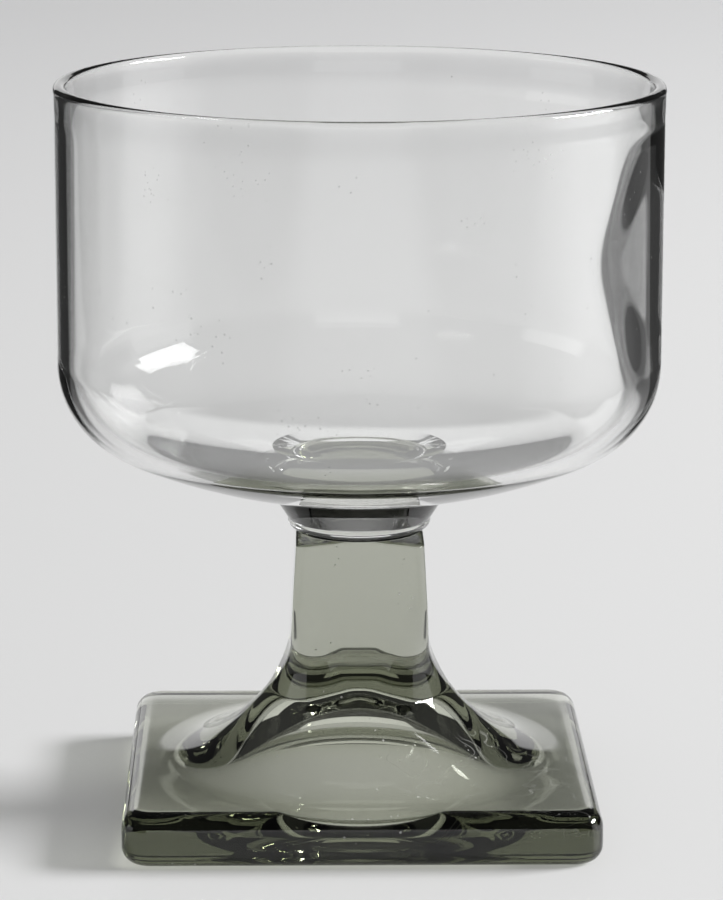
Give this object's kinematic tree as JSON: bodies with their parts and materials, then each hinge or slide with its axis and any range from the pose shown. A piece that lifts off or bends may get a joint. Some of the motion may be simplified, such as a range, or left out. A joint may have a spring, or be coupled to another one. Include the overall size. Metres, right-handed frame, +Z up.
{
  "type": "cocktail glass",
  "caption": "Short-stemmed cocktail glass: clear straight-sided bowl with a rounded base on a clear collar, over a smoke-grey square stem that flares into a square foot, hollow underneath.",
  "frame": {"origin": "middle of the foot's flat resting face", "axes": "+Z up along the axis of the glass; X and Y square to the sides of the foot"},
  "size_m": [0.0902, 0.0902, 0.11],
  "materials": {
    "clear_glass": "clear fire-polished soda-lime glass",
    "smoke_glass": "pressed and fire-polished soda-lime glass, tinted warm smoke grey in the mass"
  },
  "bodies": {
    "root": {"bowl": "clear_glass", "collar": "clear_glass", "stem_and_foot": "smoke_glass"}
  },
  "joints": []
}
